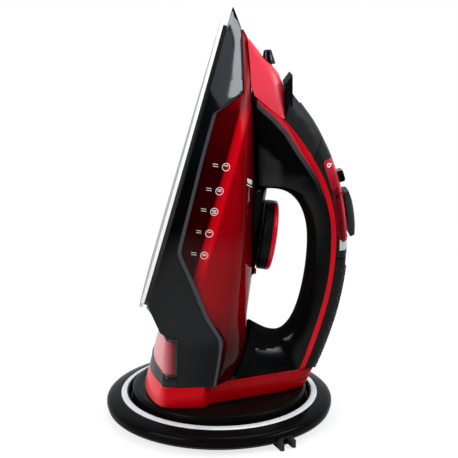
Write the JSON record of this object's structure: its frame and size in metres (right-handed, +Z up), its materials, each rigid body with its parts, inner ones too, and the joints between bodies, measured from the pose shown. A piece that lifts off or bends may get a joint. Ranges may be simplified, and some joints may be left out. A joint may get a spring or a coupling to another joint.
{
  "type": "clothes iron",
  "caption": "Cordless steam iron standing on its heel on a round swivelling charging base, with a looped handle, clear red water tank, dial, slider, push buttons and filler door.",
  "frame": {"origin": "centre of the base's foot ring on the table, on the swivel axis", "axes": "+Z up along the swivel axis, +X towards the iron's handle, -X towards its soleplate, the iron's middle plane is XZ"},
  "size_m": [0.1839, 0.17, 0.2979],
  "materials": {
    "base_black": "polished black moulding",
    "trim_silver": "satin silver ring",
    "rubber": "matt rubber",
    "steel": "plain screw steel",
    "contact_brass": "bare contact metal",
    "acetal": "natural bearing plastic",
    "inner_black": "matt technical plastic",
    "sole_steel": "polished sole sheet",
    "cast_aluminium": "as-cast, heat darkened",
    "skirt_black": "polished black moulding",
    "tank_red": "clear red tank",
    "window_red": "clear red insert",
    "red_gloss": "polished red moulding",
    "grip_matt": "fine-textured soft-touch",
    "grip_rubber": "ribbed rubber grip",
    "shell_black": "polished black moulding",
    "lens_white": "milky lens",
    "board_green": "circuit board",
    "hose_clear": "silicone hose"
  },
  "bodies": {
    "base": {"base_tray": "base_black", "base_shell": "base_black", "trim_ring": "trim_silver", "base_foot": "rubber", "base_screws": "steel", "cord_outlet": "base_black", "slip_rings": "contact_brass", "base_spindle": "steel"},
    "turntable": {"turntable": "base_black", "bearing_ring": "acetal", "brush_contacts": "contact_brass", "dock_plug": "inner_black", "dock_blades": "contact_brass"},
    "iron": {"soleplate_sheet": "sole_steel", "soleplate_casting": "cast_aluminium", "heating_element": "steel", "chamber_cover": "cast_aluminium", "thermostat": "steel", "thermal_fuse": "acetal", "tank_base": "inner_black", "water_tank": "tank_red", "skirt": "skirt_black", "heel_back": "skirt_black", "heel_window": "window_red", "heel_band": "red_gloss", "heel_contacts": "contact_brass", "heel_feet": "rubber", "upper_cover": "red_gloss", "filler_neck": "inner_black", "spray_nozzle": "shell_black", "spray_tube": "hose_clear", "filler_collar": "shell_black", "filler_door_pin": "steel", "handle_shell": "shell_black", "trim_stripes": "red_gloss", "grip_cover": "grip_matt", "control_panel": "grip_matt", "grip_pad": "grip_rubber", "button_bed": "red_gloss", "pump_barrels": "acetal", "spray_spring": "steel", "steam_spring": "steel", "slider_plate": "red_gloss", "indicator_lens": "lens_white", "indicator_board": "board_green", "dial_deck": "shell_black", "dial_pointer": "red_gloss", "heel_frame": "inner_black", "heel_screws": "steel", "drip_valve": "contact_brass"},
    "dial": {"dial_body": "shell_black", "dial_cap": "red_gloss", "dial_shaft": "steel"},
    "steam_slider": {"steam_slider": "shell_black"},
    "spray_button": {"spray_button": "grip_matt"},
    "steam_button": {"steam_button": "grip_matt"},
    "filler_door": {"filler_door": "shell_black"}
  },
  "joints": [
    {"name": "swivel", "type": "hinge", "parent": "base", "child": "turntable", "pos_m": [0, 0, 0.016], "axis": [0, 0, 1], "continuous": true},
    {"name": "lift_off", "type": "slide", "parent": "turntable", "child": "iron", "axis": [0, 0, 1], "range_m": [0, 0.08]},
    {"name": "dial_turn", "type": "hinge", "parent": "iron", "child": "dial", "pos_m": [0.03, 0, 0.1355], "axis": [0.9903, 0, -0.1392], "range_deg": [0, 270]},
    {"name": "steam_slide", "type": "slide", "parent": "iron", "child": "steam_slider", "axis": [-0.309, 0, 0.9511], "range_m": [0, 0.0086]},
    {"name": "spray_press", "type": "slide", "parent": "iron", "child": "spray_button", "axis": [-0.9877, 0, -0.1564], "range_m": [0, 0.0035], "stiffness_N_per_m": 500, "springref_m": -0.002, "deforming": ["spray_spring"]},
    {"name": "steam_press", "type": "slide", "parent": "iron", "child": "steam_button", "axis": [-0.9877, 0, -0.1564], "range_m": [0, 0.0035], "stiffness_N_per_m": 500, "springref_m": -0.002, "deforming": ["steam_spring"]},
    {"name": "door_hinge", "type": "hinge", "parent": "iron", "child": "filler_door", "pos_m": [0.0497, 0, 0.2224], "axis": [0, 1, 0], "range_deg": [0, 35]}
  ]
}
